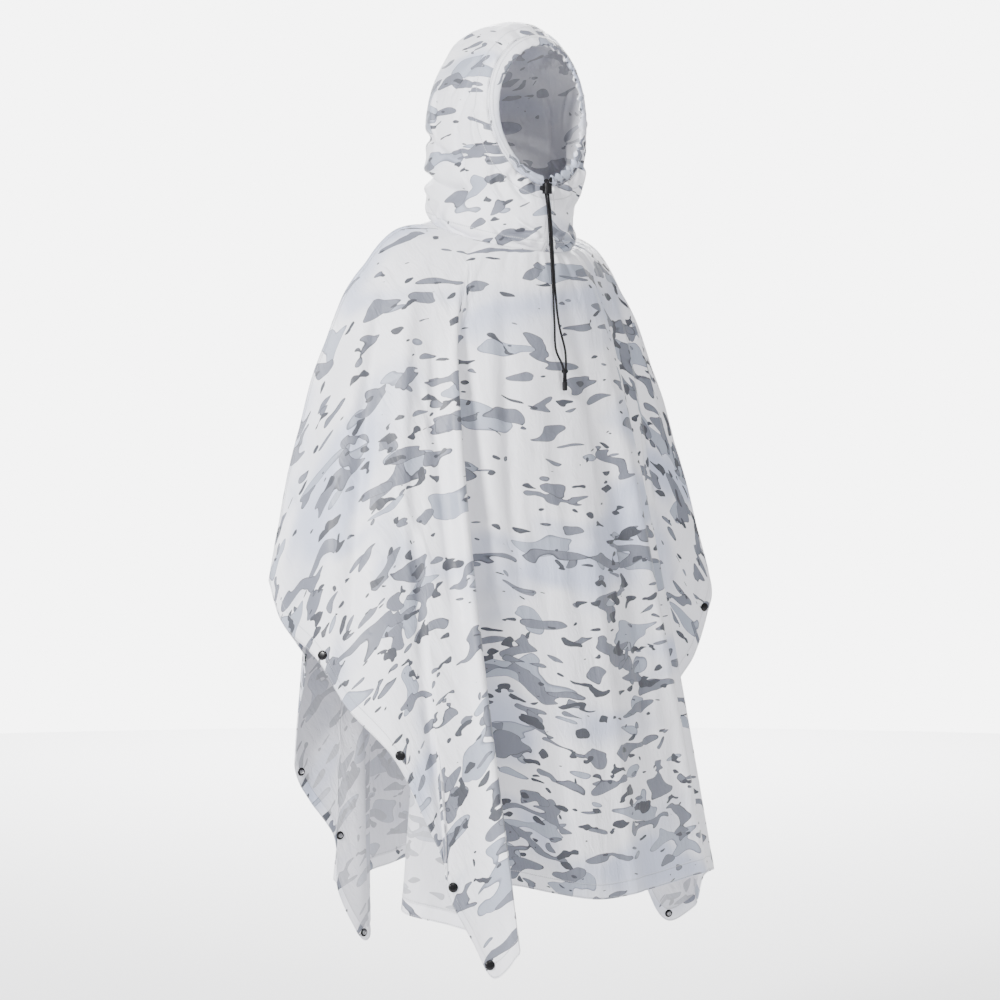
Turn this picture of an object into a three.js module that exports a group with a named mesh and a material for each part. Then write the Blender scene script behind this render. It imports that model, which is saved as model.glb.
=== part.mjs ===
// Hooded rectangular poncho, worn: two panels, a two-piece hood, its drawcord and its press studs.
// Millimetres, +Z up. The wearer faces -Y and +X is the wearer's left. Z = 0 is the neck seam's height.
import * as THREE from 'three';

// ---- driving dimensions ----
const wall = 1.2;               // cloth with its coating and turned edges
const seamGap = 0.3;            // between pieces that are sewn or riveted together
const panelRows = 12;           // rows of facets from the neck seam to the hem
const panelStep = 36;           // length of a facet along a panel's edge
const kneeRight = 284;          // ring over the shoulders from which the cloth hangs
const kneeLeft = 244;
const kneeFront = 140;
const kneeBack = 118;
const kneeTop = 58;
const kneeFrontDrop = 126;
const kneeBackDrop = 102;
const hangShare = 0.55;         // how far down its fall a line has become straight
const bulgeRight = 20;          // how far a bent arm pushes the sleeve out
const bulgeLeft = 2;
const snapRadius = 7.2;
const snapCapHeight = 2.6;
const snapBackHeight = 3.2;
const snapInset = 10;           // from the edge to the middle of a press stud, but for a row's own inset
const lookFrom = 14;            // how far off the cloth a ray that feels for it starts
const cordRadius = 1.75;
const cordSteps = 34;           // facets along each free end of the cord
const lockCenter = [-14, -136, 60];
const lockSize = [14, 12, 16];  // across, deep, high
const knotCenter = [-1, -163, -223];
const knotRadius = 5.5;
const endLength = 14;
const endRadius = 4;
const tailLength = 9;
const channelDepth = 6;
const neckClear = 0.7;          // how far the panels' edge lies below the hood's last loop, besides the wall
const strandGap = 4.8;          // between the two strands' middles inside the lock
const lockPlay = 1.4;           // of the strands in the lock's slot
const buttonTravel = 4.5;
const buttonRadius = 4;

// The edge of each panel, from one shoulder seam's end round the side edge, the hem and the other side edge.
// turn: place on the shoulder ring in degrees from the front, x y z: where the edge hangs, snap: stud's name,
// inset: how far in it sits.
const frontEdge = [
  { place: 'seam end right', turn: -90, x: -428, y: 10, z: -540 },
  { place: 'cuff right', turn: -86, x: -424, y: -25, z: -604 },
  { place: 'snap one right', turn: -79, x: -420, y: -107, z: -652, snap: 'front_right_1' },
  { place: 'below cuff right', turn: -74, x: -398, y: -150, z: -720 },
  { place: 'snap two right', turn: -69, x: -360, y: -215, z: -792, snap: 'front_right_2' },
  { place: 'lower edge right', turn: -63, x: -327, y: -252, z: -888 },
  { place: 'gore right', turn: -60, x: -312, y: -270, z: -940 },
  { place: 'snap three right', turn: -57, x: -315, y: -279, z: -974, snap: 'front_right_3' },
  { place: 'lowest edge right', turn: -55, x: -290, y: -308, z: -1048 },
  { place: 'corner right', turn: -53, x: -268, y: -331, z: -1100, snap: 'front_right_4', inset: 21 },
  { place: 'flap fold', turn: -50, x: -236, y: -344, z: -1064 },
  { place: 'flap return', turn: -48.5, x: -238, y: -326, z: -1056 },
  { place: 'inner pleat', turn: -44, x: -280, y: -250, z: -1035 },
  { place: 'pleat fold', turn: -39.5, x: -322, y: -188, z: -1020 },
  { place: 'pleat return', turn: -38, x: -312, y: -170, z: -1014 },
  { place: 'front start', turn: -34, x: -250, y: -198, z: -998 },
  { place: 'front right', turn: -28, x: -180, y: -238, z: -986 },
  { place: 'front near', turn: -19, x: -105, y: -262, z: -1002 },
  { place: 'front middle', turn: -7, x: -20, y: -268, z: -1019 },
  { place: 'front left', turn: 7, x: 100, y: -240, z: -1019 },
  { place: 'front far', turn: 22, x: 230, y: -206, z: -1012 },
  { place: 'crest left', turn: 32, x: 300, y: -174, z: -1013 },
  { place: 'wrap left', turn: 36, x: 345, y: -100, z: -1038 },
  { place: 'wrap behind left', turn: 39, x: 378, y: -50, z: -1085 },
  { place: 'wrap fold left', turn: 42, x: 398, y: -18, z: -1104 },
  { place: 'corner left', turn: 45, x: 355, y: -2, z: -1124, snap: 'front_left_4', inset: 13 },
  { place: 'inner edge left', turn: 47.5, x: 315, y: 2, z: -1072 },
  { place: 'lower edge left', turn: 51, x: 314, y: 22, z: -985, snap: 'front_left_3' },
  { place: 'middle edge left', turn: 56, x: 338, y: 38, z: -885 },
  { place: 'upper edge left', turn: 62, x: 371, y: 38, z: -797, snap: 'front_left_2' },
  { place: 'sleeve low left', turn: 69, x: 398, y: 16, z: -722 },
  { place: 'cuff low left', turn: 75, x: 419, y: 4, z: -684 },
  { place: 'snap one left', turn: 83.5, x: 443, y: -7, z: -604, snap: 'front_left_1' },
  { place: 'cuff left', turn: 87, x: 452, y: -5, z: -575 },
  { place: 'seam end left', turn: 90, x: 447, y: 0, z: -535 },
];
const backEdge = [
  { place: 'seam end right', turn: -90, x: -428, y: 10, z: -540 },
  { place: 'cuff right', turn: -96, x: -392, y: 35, z: -598 },
  { place: 'snap one right', turn: -102, x: -342, y: 44, z: -665, snap: 'back_right_1' },
  { place: 'upper edge right', turn: -110, x: -332, y: 78, z: -755 },
  { place: 'snap two right', turn: -117, x: -320, y: 100, z: -844, snap: 'back_right_2' },
  { place: 'lower edge right', turn: -121, x: -292, y: 106, z: -885 },
  { place: 'snap three right', turn: -126, x: -250, y: 100, z: -946, snap: 'back_right_3' },
  { place: 'edge turn right', turn: -129, x: -242, y: 100, z: -1030 },
  { place: 'corner right', turn: -133, x: -190, y: 100, z: -1113, snap: 'back_right_4', inset: 14 },
  { place: 'flap fold', turn: -137, x: -166, y: 120, z: -1085 },
  { place: 'flap return', turn: -140, x: -172, y: 136, z: -1050 },
  { place: 'inner pleat', turn: -145, x: -205, y: 158, z: -1028 },
  { place: 'pleat return', turn: -150, x: -196, y: 178, z: -1022 },
  { place: 'back right', turn: -157, x: -138, y: 178, z: -1020 },
  { place: 'back near', turn: -172, x: -40, y: 200, z: -1005 },
  { place: 'first fold out', turn: -177, x: -2, y: 228, z: -1004 },
  { place: 'first fold', turn: -181, x: 34, y: 248, z: -1002 },
  { place: 'first fold back', turn: -184, x: 46, y: 216, z: -1006 },
  { place: 'first fold in', turn: -188, x: 38, y: 162, z: -1012 },
  { place: 'back middle', turn: -191, x: 70, y: 148, z: -1012 },
  { place: 'second fold out', turn: -195, x: 104, y: 188, z: -1008 },
  { place: 'second fold', turn: -199, x: 138, y: 238, z: -1006 },
  { place: 'second fold back', turn: -202, x: 152, y: 200, z: -1010 },
  { place: 'second fold in', turn: -206, x: 146, y: 148, z: -1016 },
  { place: 'back left', turn: -209, x: 178, y: 134, z: -1018 },
  { place: 'third fold out', turn: -213, x: 210, y: 168, z: -1018 },
  { place: 'third fold', turn: -216.5, x: 246, y: 200, z: -1020 },
  { place: 'third fold back', turn: -219, x: 258, y: 160, z: -1028 },
  { place: 'pleat in left', turn: -222, x: 248, y: 112, z: -1042 },
  { place: 'corner left', turn: -226, x: 298, y: 104, z: -1084, snap: 'back_left_4', inset: 14 },
  { place: 'lowest edge left', turn: -231, x: 330, y: 116, z: -1005 },
  { place: 'snap three left', turn: -237, x: 364, y: 108, z: -905, snap: 'back_left_3' },
  { place: 'middle edge left', turn: -244, x: 392, y: 92, z: -805 },
  { place: 'snap two left', turn: -252, x: 414, y: 68, z: -705, snap: 'back_left_2' },
  { place: 'cuff low left', turn: -261, x: 428, y: 42, z: -630, snap: 'back_left_1' },
  { place: 'cuff left', turn: -267, x: 441, y: 16, z: -572 },
  { place: 'seam end left', turn: -270, x: 447, y: 0, z: -535 },
];

// Loops of the hood from the channel to the neck seam. Each is an oval through a point over the head
// (crown) and one in front of the neck (chin); half is its half width and bow moves its sides back.
const hoodLoops = [
  { loop: 'channel seam', crownY: -98, crownZ: 303, chinY: -120, chinZ: 66, half: 98, bow: 14 },
  { loop: 'brow', crownY: -70, crownZ: 325, chinY: -124, chinZ: 55, half: 106, bow: 14 },
  { loop: 'crown', crownY: -18, crownZ: 333, chinY: -127, chinZ: 44, half: 112, bow: 12 },
  { loop: 'back of crown', crownY: 48, crownZ: 319, chinY: -128, chinZ: 33, half: 115, bow: 10 },
  { loop: 'back', crownY: 101, crownZ: 270, chinY: -127, chinZ: 22, half: 116, bow: 6 },
  { loop: 'above nape', crownY: 126, crownZ: 200, chinY: -125, chinZ: 11, half: 114, bow: 2 },
  { loop: 'nape', crownY: 120, crownZ: 132, chinY: -123, chinZ: 0, half: 111, bow: 0 },
  { loop: 'neck fold', crownY: 110, crownZ: 88, chinY: -122, chinZ: -11, half: 110, bow: 0 },
  { loop: 'neck roll', crownY: 116, crownZ: 60, chinY: -122, chinZ: -23, half: 119, bow: 0 },
  { loop: 'neck seam', crownY: 102, crownZ: 36, chinY: -112, chinZ: -34, half: 112, bow: 0 },
];
const hoodSpokes = 13;          // facets from the crown seam to the front seam
const faceOval = { crownY: -113, crownZ: 286, chinY: -116, chinZ: 82, half: 82, bow: 12 };

// ---- cloth walls ----
function mesh(name, geometry, color, roughness, metalness = 0) {
  const material = new THREE.MeshStandardMaterial({ color, roughness, metalness });
  const part = new THREE.Mesh(geometry, material);
  part.name = name;
  return part;
}

// Outward normal of each point of a grid of rows and columns. The outer columns lie in a seam: seamAcross is
// the way that the cloth leaves the first, and enters the last the other way, so both sides of a seam agree.
function gridNormals(grid, seamAcross) {
  const last = grid.length - 1;
  const end = grid[0].length - 1;
  return grid.map((row, i) => row.map((point, j) => {
    const down = grid[Math.min(i + 1, last)][j].clone().sub(grid[Math.max(i - 1, 0)][j]);
    let across = seamAcross.clone().multiplyScalar(j === 0 ? 1 : -1);
    if (j > 0 && j < end) across = row[j + 1].clone().sub(row[j - 1]);
    return down.cross(across).normalize();
  }));
}

// Closed wall on a grid of middle points: both faces, half a wall out and in, and the rim between them.
function wallGeometry(grid, normals) {
  const rows = grid.length;
  const columns = grid[0].length;
  const positions = [];
  for (const side of [0.5, -0.5]) {
    grid.forEach((row, i) => row.forEach((point, j) => {
      const moved = point.clone().addScaledVector(normals[i][j], side * wall);
      positions.push(moved.x, moved.y, moved.z);
    }));
  }
  const outer = (i, j) => i * columns + j;
  const inner = (i, j) => rows * columns + i * columns + j;
  const index = [];
  const quad = (a, b, c, d) => index.push(a, b, c, a, c, d);
  const foot = rows - 1;
  const end = columns - 1;
  for (let i = 0; i < foot; i += 1) {
    for (let j = 0; j < end; j += 1) {
      quad(outer(i, j), outer(i + 1, j), outer(i + 1, j + 1), outer(i, j + 1));
      quad(inner(i, j), inner(i, j + 1), inner(i + 1, j + 1), inner(i + 1, j));
    }
    quad(outer(i, 0), inner(i, 0), inner(i + 1, 0), outer(i + 1, 0));
    quad(outer(i, end), outer(i + 1, end), inner(i + 1, end), inner(i, end));
  }
  for (let j = 0; j < end; j += 1) {
    quad(outer(0, j), outer(0, j + 1), inner(0, j + 1), inner(0, j));
    quad(outer(foot, j), inner(foot, j), inner(foot, j + 1), outer(foot, j + 1));
  }
  const geometry = new THREE.BufferGeometry();
  geometry.setAttribute('position', new THREE.Float32BufferAttribute(positions, 3));
  geometry.setIndex(index);
  return geometry;
}

// ---- panels ----
const degrees = Math.PI / 180;

// Neck seam ring: the hood's last loop, a little lower, at a turn round the neck.
function neckPoint(turn) {
  const seam = hoodLoops[hoodLoops.length - 1];
  const front = Math.cos(turn * degrees);
  const middleY = (seam.crownY + seam.chinY) / 2;
  const middleZ = (seam.crownZ + seam.chinZ) / 2;
  return new THREE.Vector3(
    seam.half * Math.sin(turn * degrees),
    middleY + (seam.chinY - middleY) * front,
    middleZ + (seam.chinZ - middleZ) * front - wall / 2 - neckClear);
}

// Ring over the shoulders that the cloth leaves to hang: an ellipse, lower in front and behind.
function kneePoint(turn) {
  const front = Math.cos(turn * degrees);
  const depth = front > 0 ? kneeFront : kneeBack;
  const drop = front > 0 ? kneeFrontDrop : kneeBackDrop;
  const left = Math.sin(turn * degrees);
  const reach = left > 0 ? kneeLeft : kneeRight;
  return new THREE.Vector3(reach * left, -depth * front, kneeTop - drop * Math.abs(front));
}

// One line of the cloth from the neck to the edge: a cubic curve over the shoulder ring, then down.
function fall(turn, edge) {
  const knee = kneePoint(turn);
  const hang = knee.clone().lerp(edge, hangShare);
  const left = Math.sin(turn * degrees);
  hang.x += (left > 0 ? bulgeLeft : bulgeRight) * left ** 5;
  return new THREE.CubicBezierCurve3(neckPoint(turn), knee, hang, edge);
}

// Grid of a panel's middle points, a column for each step along its edge.
function panelGrid(edge, shiftY) {
  const curve = new THREE.CatmullRomCurve3(edge.map((row) => new THREE.Vector3(row.x, row.y, row.z)));
  const spans = edge.length - 1;
  const columns = [];
  edge.slice(1).forEach((row, k) => {
    const chord = Math.hypot(row.x - edge[k].x, row.y - edge[k].y, row.z - edge[k].z);
    const steps = Math.max(1, Math.round(chord / panelStep));
    columns.push({ span: k, snap: edge[k].snap, inset: edge[k].inset ?? snapInset });
    for (let n = 1; n < steps; n += 1) columns.push({ span: k + n / steps });
  });
  columns.push({ span: spans });
  const falls = columns.map(({ span }) => {
    const k = Math.min(Math.floor(span), spans - 1);
    const turn = THREE.MathUtils.lerp(edge[k].turn, edge[k + 1].turn, span - k);
    return fall(turn, curve.getPoint(span / spans));
  });
  const grid = [];
  for (let i = 0; i <= panelRows; i += 1) {
    grid.push(falls.map((line, j) => {
      const point = line.getPoint(i / panelRows);
      if (j === 0 || j === falls.length - 1) point.y += shiftY;
      return point;
    }));
  }
  return { grid, columns };
}

const group = new THREE.Group();
const cloth = [0xe9ebf0, 0.62];
const black = [0x151517, 0.45];

// Body turned about Y from a profile of radius and height.
function turnedBody(profile, facets) {
  const points = profile.map(([radius, height]) => new THREE.Vector2(radius, height));
  return new THREE.LatheGeometry(points, facets);
}

// ---- press studs ----
// Place of a stud: a set distance in from the edge at a column, felt on the panel's outer face with a ray.
function studSeat(panel, grid, column, inset) {
  const foot = grid[grid.length - 1];
  const along = foot[column + 1].clone().sub(foot[column - 1]);
  const up = grid[grid.length - 2][column].clone().sub(foot[column]);
  const facing = along.clone().cross(up).normalize();
  const inward = facing.clone().cross(along).normalize();
  const start = foot[column].clone().addScaledVector(inward, inset).addScaledVector(facing, lookFrom);
  const ray = new THREE.Raycaster(start, facing.clone().negate(), 0, 2 * lookFrom);
  const [hit] = ray.intersectObject(panel);
  const { normal } = hit.face;
  return { seat: hit.point.addScaledVector(normal, -wall / 2), normal: normal.clone() };
}

// Height above the seat that clears the cloth all under a stud, felt along the normal at its rim and middle.
function studLift(panel, seat, normal) {
  const turned = new THREE.Quaternion().setFromUnitVectors(new THREE.Vector3(0, 0, 1), normal);
  let lift = 0;
  for (const radius of [0, snapRadius / 2, snapRadius]) {
    for (let angle = 0; angle < 2 * Math.PI; angle += Math.PI / 8) {
      const start = new THREE.Vector3(radius * Math.cos(angle), radius * Math.sin(angle), lookFrom);
      start.applyQuaternion(turned).add(seat);
      const ray = new THREE.Raycaster(start, normal.clone().negate(), 0, 2 * lookFrom);
      const [hit] = ray.intersectObject(panel);
      if (hit) lift = Math.max(lift, lookFrom - hit.distance);
    }
  }
  return lift + seamGap;
}

// Half of a stud: a low turned body that stands on the cloth, its axis along the normal.
function stud(name, profile, panel, seat, normal) {
  const part = mesh(name, turnedBody(profile, 16), ...black);
  part.quaternion.setFromUnitVectors(new THREE.Vector3(0, 1, 0), normal);
  part.position.copy(seat).addScaledVector(normal, studLift(panel, seat, normal));
  return part;
}

const capProfile = [[0, 0], [snapRadius, 0], [snapRadius, 1], [snapRadius - 1.6, snapCapHeight],
  [0, snapCapHeight]];
const backProfile = [[0, 0], [snapRadius - 0.6, 0], [snapRadius - 0.6, 1.2], [3.4, 1.6],
  [3.4, snapBackHeight], [0, snapBackHeight]];

function addPanel(side, edge, outward) {
  const { grid, columns } = panelGrid(edge, -outward * seamGap / 2);
  if (outward < 0) {
    grid.forEach((row) => row.reverse());
    columns.reverse();
  }
  const normals = gridNormals(grid, new THREE.Vector3(0, -outward, 0));
  const panel = mesh(`${side}_panel`, wallGeometry(grid, normals), ...cloth);
  group.add(panel);
  columns.forEach(({ snap, inset }, j) => {
    if (!snap) return;
    const { seat, normal } = studSeat(panel, grid, j, inset);
    group.add(stud(`snap_${snap}_cap`, capProfile, panel, seat, normal));
    group.add(stud(`snap_${snap}_back`, backProfile, panel, seat, normal.clone().negate()));
  });
}
addPanel('front', frontEdge, 1);
addPanel('back', backEdge, -1);

// ---- hood ----
// Point of an oval loop: angle 0 is over the head, 180 in front of the neck, positive to the wearer's left.
function ovalPoint(loop, angle) {
  const top = (1 + Math.cos(angle)) / 2;
  const sideways = Math.sin(angle);
  return new THREE.Vector3(
    loop.half * sideways,
    loop.chinY + (loop.crownY - loop.chinY) * top + loop.bow * sideways * sideways,
    loop.chinZ + (loop.crownZ - loop.chinZ) * top);
}

// Half of the hood, from the crown seam to the front seam, half a seam gap off the middle.
function addHoodHalf(name, hand) {
  const grid = hoodLoops.map((loop) => {
    const row = [];
    for (let n = 0; n <= hoodSpokes; n += 1) {
      const point = ovalPoint(loop, Math.PI * n / hoodSpokes);
      point.x = hand * (point.x + (n === 0 || n === hoodSpokes ? seamGap / 2 : 0));
      row.push(point);
    }
    return hand > 0 ? row.reverse() : row;
  });
  const normals = gridNormals(grid, new THREE.Vector3(hand, 0, 0));
  group.add(mesh(name, wallGeometry(grid, normals), ...cloth));
}
addHoodHalf('hood_left', 1);
addHoodHalf('hood_right', -1);

// ---- drawcord channel ----
// A strip folded round the cord along the face opening: an oval section from the hood's edge inwards, open at
// the chin. It keeps the hood's facets, so the gap to its edge is even.
function channelGeometry() {
  const sides = 8;
  const clear = seamGap + wall / 4;
  const rings = [];
  const endPart = 0.6;
  const point = (loop, n) => {
    const whole = Math.trunc(n);
    const near = ovalPoint(loop, Math.PI * whole / hoodSpokes);
    return near.lerp(ovalPoint(loop, Math.PI * (whole + Math.sign(n)) / hoodSpokes), Math.abs(n - whole));
  };
  const spokes = [];
  for (let n = 1 - hoodSpokes; n <= hoodSpokes - 1; n += 1) spokes.push(n);
  spokes.unshift(spokes[0] - endPart);
  spokes.push(hoodSpokes - 1 + endPart);
  for (const n of spokes) {
    const seam = point(hoodLoops[0], n);
    const width = point(faceOval, n).sub(seam);
    const along = point(hoodLoops[0], n + 0.01).sub(point(hoodLoops[0], n - 0.01));
    const out = along.cross(width).normalize().multiplyScalar(channelDepth / 2);
    const half = (width.length() - clear) / 2;
    width.normalize();
    const middle = seam.addScaledVector(width, clear + half);
    const ring = [];
    for (let k = 0; k < sides; k += 1) {
      const angle = 2 * Math.PI * k / sides;
      const spot = middle.clone().addScaledVector(width, half * Math.cos(angle));
      ring.push(spot.addScaledVector(out, Math.sin(angle)));
    }
    rings.push(ring);
  }
  return tubeGeometry(rings);
}

// Closed body through rings of points, with a flat cap at each end.
function tubeGeometry(rings) {
  const sides = rings[0].length;
  const positions = rings.flat().flatMap((point) => [point.x, point.y, point.z]);
  const index = [];
  for (let i = 0; i < rings.length - 1; i += 1) {
    for (let k = 0; k < sides; k += 1) {
      const a = i * sides + k;
      const b = i * sides + (k + 1) % sides;
      index.push(a, b, b + sides, a, b + sides, a + sides);
    }
  }
  const top = (rings.length - 1) * sides;
  for (let k = 1; k < sides - 1; k += 1) {
    index.push(0, k + 1, k, top, top + k, top + k + 1);
  }
  const geometry = new THREE.BufferGeometry();
  geometry.setAttribute('position', new THREE.Float32BufferAttribute(positions, 3));
  geometry.setIndex(index);
  return geometry;
}
group.add(mesh('hood_channel', channelGeometry(), ...cloth));

// ---- drawcord ----
// Route of each free end, by hand: out of the channel at the chin, through the lock, down the neck and chest.
// The two open into a small loop above the knot.
const cordRightRoute = [
  [-7.9, -119.4, 74.2], [-6.6, -119.7, 74.4], [-5.6, -124.5, 75.4], [-10.5, -131, 73.8],
  [-16.4, -136, 69.5], [-16.4, -136, 60], [-16.4, -136, 50],
  [-10.5, -134, 24], [-5.5, -132.5, -20], [-4, -138, -97], [-10, -149, -150], [-13, -156.5, -190],
  [-5, -161.5, -212], [-3.2, -163, -217.2]];
const cordLeftRoute = [
  [7.9, -119.4, 74.2], [6.6, -119.7, 74.4], [3.6, -124.5, 75.8], [-3.5, -132.5, 77.5],
  [-11.6, -136, 69.5], [-11.6, -136, 60], [-11.6, -136, 50],
  [-6, -134, 24], [-1, -132.5, -20], [0.5, -138, -97], [-1, -149, -150], [5, -156.5, -190],
  [2.5, -161.5, -212], [1.2, -163, -217.2]];

function cordGeometry(route) {
  const section = new THREE.Shape();
  for (let k = 0; k < 8; k += 1) {
    const angle = Math.PI * k / 4;
    const place = [cordRadius * Math.cos(angle), cordRadius * Math.sin(angle)];
    if (k === 0) section.moveTo(...place);
    else section.lineTo(...place);
  }
  const path = new THREE.CatmullRomCurve3(route.map((point) => new THREE.Vector3(...point)));
  return new THREE.ExtrudeGeometry(section, { steps: cordSteps, bevelEnabled: false, extrudePath: path });
}
group.add(mesh('cord_right', cordGeometry(cordRightRoute), ...black));
group.add(mesh('cord_left', cordGeometry(cordLeftRoute), ...black));

// Rounded outline, across by deep, as a shape or as the hole in one.
function roundedOutline(outline, across, deep, corner) {
  const x = across / 2 - corner;
  const y = deep / 2 - corner;
  outline.moveTo(-x, -y - corner);
  outline.lineTo(x, -y - corner);
  outline.absarc(x, -y, corner, -Math.PI / 2, 0);
  outline.absarc(x, y, corner, 0, Math.PI / 2);
  outline.absarc(-x, y, corner, Math.PI / 2, Math.PI);
  outline.absarc(-x, -y, corner, Math.PI, 1.5 * Math.PI);
  return outline;
}

// Lock: a block with one slot down through it for both strands, and the button that its spring pushes out.
function addLock() {
  const [across, deep, high] = lockSize;
  const outline = roundedOutline(new THREE.Shape(), across, deep, 4);
  const slotDeep = 2 * cordRadius + lockPlay;
  outline.holes.push(roundedOutline(new THREE.Path(), strandGap + slotDeep, slotDeep, 1.5));
  const body = new THREE.ExtrudeGeometry(outline, { depth: high, bevelEnabled: false, curveSegments: 4 });
  body.translate(0, 0, -high / 2);
  const block = mesh('cord_lock', body, ...black);
  block.position.set(...lockCenter);
  group.add(block);
  const rod = new THREE.CylinderGeometry(buttonRadius, buttonRadius, buttonTravel, 14);
  const button = mesh('cord_lock_button', rod, ...black);
  button.rotation.z = Math.PI / 2;
  const [x, y, z] = lockCenter;
  button.position.set(x - across / 2 - buttonTravel / 2 - seamGap, y, z);
  group.add(button);
}
addLock();

// Knot, the two strands side by side below it, and the barrel crimped on their ends, hanging on one line.
function addCordEnd() {
  const [x, y, z] = knotCenter;
  const knot = mesh('cord_knot', new THREE.IcosahedronGeometry(knotRadius, 1), ...black);
  knot.position.set(x, y, z);
  group.add(knot);
  const strands = roundedOutline(new THREE.Shape(), 4 * cordRadius, 2 * cordRadius, cordRadius - 0.01);
  const tailOptions = { depth: tailLength, bevelEnabled: false, curveSegments: 3 };
  const tailBody = new THREE.ExtrudeGeometry(strands, tailOptions);
  const tail = mesh('cord_tail', tailBody, ...black);
  tail.position.set(x, y, z - knotRadius - seamGap - tailLength);
  group.add(tail);
  const profile = [[0, 0], [endRadius - 1, 0], [endRadius, 1.5], [endRadius, endLength - 1],
    [endRadius - 1, endLength], [0, endLength]];
  const barrel = mesh('cord_end', turnedBody(profile, 14), ...black);
  barrel.rotation.x = Math.PI / 2;
  barrel.position.set(x, y, tail.position.z - seamGap - endLength);
  group.add(barrel);
}
addCordEnd();

export default group;
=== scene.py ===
import math

import bpy
import numpy as np
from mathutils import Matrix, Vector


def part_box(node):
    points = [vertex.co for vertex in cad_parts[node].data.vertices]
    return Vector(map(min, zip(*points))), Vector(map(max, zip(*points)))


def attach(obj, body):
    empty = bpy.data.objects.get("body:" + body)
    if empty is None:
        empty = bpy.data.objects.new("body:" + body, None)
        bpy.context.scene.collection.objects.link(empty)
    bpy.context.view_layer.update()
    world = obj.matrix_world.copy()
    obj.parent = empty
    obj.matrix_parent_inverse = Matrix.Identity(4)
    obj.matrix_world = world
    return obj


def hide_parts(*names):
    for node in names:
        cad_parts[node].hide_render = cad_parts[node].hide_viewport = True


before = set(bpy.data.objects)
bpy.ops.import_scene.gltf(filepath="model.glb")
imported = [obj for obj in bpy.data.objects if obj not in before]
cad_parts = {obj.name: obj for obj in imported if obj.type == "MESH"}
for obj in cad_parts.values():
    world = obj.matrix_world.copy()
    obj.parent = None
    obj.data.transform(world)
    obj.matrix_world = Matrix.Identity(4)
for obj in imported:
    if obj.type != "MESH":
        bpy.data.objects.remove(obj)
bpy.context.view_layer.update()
print("frame loaded")

# ---- the worn form, in metres: +Z up, the garment faces -Y, the wearer's left is +X ----
form = {
    "kneeRight": 0.284,  # ring over the shoulders from which the cloth hangs
    "kneeLeft": 0.244,
    "kneeFront": 0.140,
    "kneeBack": 0.118,
    "kneeTop": 0.058,
    "kneeFrontDrop": 0.126,
    "kneeBackDrop": 0.102,
    "hangShare": 0.55,  # how far down its fall a line has become straight
    "bulgeRight": 0.020,  # how far a bent arm pushes the sleeve out
    "bulgeLeft": 0.002,
    "seamGap": 0.0003,
    "cloth": 0.0007,  # thickness of one layer
    "hemTurn": 0.024,  # depth of the turned edges
}

# The panels' edges: turn on the shoulder ring in degrees from the front, then where the edge hangs, x y z.
frontEdge = [
    (-90, -0.428, 0.010, -0.540),  # seam end right
    (-86, -0.424, -0.025, -0.604),
    (-79, -0.420, -0.107, -0.652),  # first stud
    (-74, -0.398, -0.150, -0.720),
    (-69, -0.360, -0.215, -0.792),  # second stud
    (-63, -0.327, -0.252, -0.888),
    (-60, -0.312, -0.270, -0.940),
    (-57, -0.315, -0.279, -0.974),  # third stud
    (-55, -0.290, -0.308, -1.048),
    (-53, -0.268, -0.331, -1.100),  # corner right
    (-50, -0.236, -0.344, -1.064),
    (-48.5, -0.238, -0.326, -1.056),
    (-44, -0.280, -0.250, -1.035),
    (-39.5, -0.322, -0.188, -1.020),  # pleat
    (-38, -0.312, -0.170, -1.014),
    (-34, -0.250, -0.198, -0.998),
    (-28, -0.180, -0.238, -0.986),
    (-19, -0.105, -0.262, -1.002),
    (-7, -0.020, -0.268, -1.019),  # front
    (7, 0.100, -0.240, -1.019),
    (22, 0.230, -0.206, -1.012),
    (32, 0.300, -0.174, -1.013),
    (36, 0.345, -0.100, -1.038),
    (39, 0.378, -0.050, -1.085),
    (42, 0.398, -0.018, -1.104),
    (45, 0.355, -0.002, -1.124),  # corner left
    (47.5, 0.315, 0.002, -1.072),
    (51, 0.314, 0.022, -0.985),
    (56, 0.338, 0.038, -0.885),
    (62, 0.371, 0.038, -0.797),
    (69, 0.398, 0.016, -0.722),
    (75, 0.419, 0.004, -0.684),
    (83.5, 0.443, -0.007, -0.604),
    (87, 0.452, -0.005, -0.575),
    (90, 0.447, 0.000, -0.535),  # seam end left
]
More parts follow.
